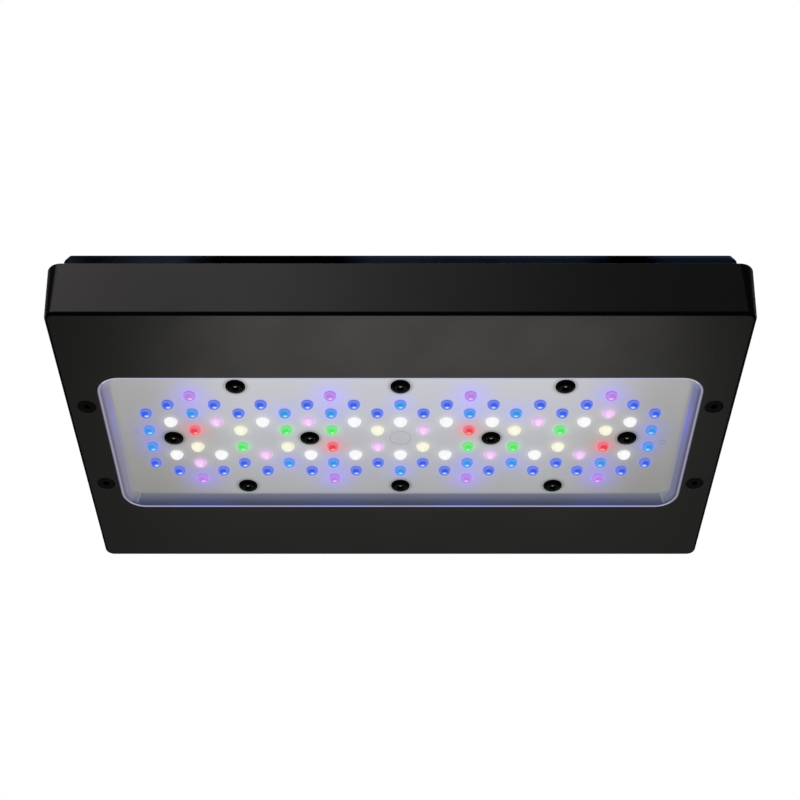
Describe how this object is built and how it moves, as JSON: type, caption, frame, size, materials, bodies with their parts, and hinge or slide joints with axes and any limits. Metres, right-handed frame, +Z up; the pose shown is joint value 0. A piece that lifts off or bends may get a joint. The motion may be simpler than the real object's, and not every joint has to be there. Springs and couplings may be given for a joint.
{
  "type": "led aquarium light",
  "caption": "Flat rectangular LED reef light: drafted black tray housing with a recessed clear domed lens, inset lid with fan grille, exhaust slots and push buttons.",
  "frame": {"origin": "middle of the flat bottom face of the lower housing (bounding box bottom centre)", "axes": "+X along the long side, +Y towards the back wall with the power inlet, +Z up through the lid"},
  "size_m": [0.2998, 0.1798, 0.039],
  "materials": {
    "case_black": "satin fine-textured black",
    "lid_navy": "polished, blue-black",
    "seal_rubber": "matt closed-cell foam",
    "lens_clear": "clear moulded acrylic",
    "board_white": "white solder mask over aluminium",
    "pad_grey": "soft silicone",
    "led_royal_blue": "lit",
    "led_blue": "lit",
    "led_cool_white": "lit",
    "led_warm_white": "lit",
    "led_pink": "lit",
    "led_red": "lit",
    "led_green": "lit",
    "led_violet": "lit",
    "led_status": "lit",
    "sink_aluminium": "extruded, clear anodised",
    "screw_black": "black oxide",
    "screw_steel": "zinc plated",
    "insert_brass": "turned",
    "fan_black": "moulded",
    "grille_black": "moulded",
    "bearing_bronze": "sintered",
    "winding_copper": "enamelled wire",
    "board_green": "solder mask",
    "component_black": "moulded epoxy",
    "capacitor_can": "drawn can",
    "header_white": "moulded nylon",
    "pipe_clear": "clear acrylic",
    "button_grey": "satin",
    "inlet_black": "moulded",
    "contact_gold": "plated",
    "lead_black": "matt insulation",
    "ribbon_white": "flat flex"
  },
  "bodies": {
    "case": {"lower_housing": "case_black", "top_cover": "lid_navy", "cover_gasket": "seal_rubber", "lens_plate": "lens_clear", "lens_gasket": "seal_rubber", "led_board": "board_white", "thermal_pad": "pad_grey", "leds_royal_blue": "led_royal_blue", "leds_blue": "led_blue", "leds_cool_white": "led_cool_white", "leds_warm_white": "led_warm_white", "leds_pink": "led_pink", "leds_red": "led_red", "leds_green": "led_green", "leds_violet": "led_violet", "heat_sink": "sink_aluminium", "lens_screws": "screw_black", "housing_screws": "screw_black", "heat_sink_screws": "screw_steel", "driver_board_screws": "screw_steel", "control_board_screws": "screw_steel", "fan_screws": "screw_black", "mount_inserts": "insert_brass", "fan_frame": "fan_black", "fan_bearing": "bearing_bronze", "fan_stator": "winding_copper", "fan_grille": "grille_black", "driver_board": "board_green", "driver_inductors": "component_black", "driver_capacitors": "capacitor_can", "driver_chips": "component_black", "driver_headers": "header_white", "led_board_header": "header_white", "control_board": "board_green", "button_switches": "component_black", "controller_chips": "component_black", "status_led": "led_status", "status_light_pipe": "pipe_clear", "control_header": "header_white", "power_inlet": "inlet_black", "inlet_contacts": "contact_gold", "inlet_nut": "screw_steel", "inlet_leads": "lead_black", "fan_lead": "lead_black", "led_ribbon": "ribbon_white", "control_ribbon": "ribbon_white"},
    "fan_rotor": {"fan_rotor": "fan_black"},
    "button_left": {"button_left": "button_grey"},
    "button_centre": {"button_centre": "button_grey"},
    "button_right": {"button_right": "button_grey"}
  },
  "joints": [
    {"name": "fan_spin", "type": "hinge", "parent": "case", "child": "fan_rotor", "pos_m": [0, 0, 0.028], "axis": [0, 0, 1], "continuous": true},
    {"name": "button_left_press", "type": "slide", "parent": "case", "child": "button_left", "axis": [0, 0, -1], "range_m": [0, 0.0007], "stiffness_N_per_m": 800, "springref_m": -0.001},
    {"name": "button_centre_press", "type": "slide", "parent": "case", "child": "button_centre", "axis": [0, 0, -1], "range_m": [0, 0.0007], "stiffness_N_per_m": 800, "springref_m": -0.001},
    {"name": "button_right_press", "type": "slide", "parent": "case", "child": "button_right", "axis": [0, 0, -1], "range_m": [0, 0.0007], "stiffness_N_per_m": 800, "springref_m": -0.001}
  ]
}
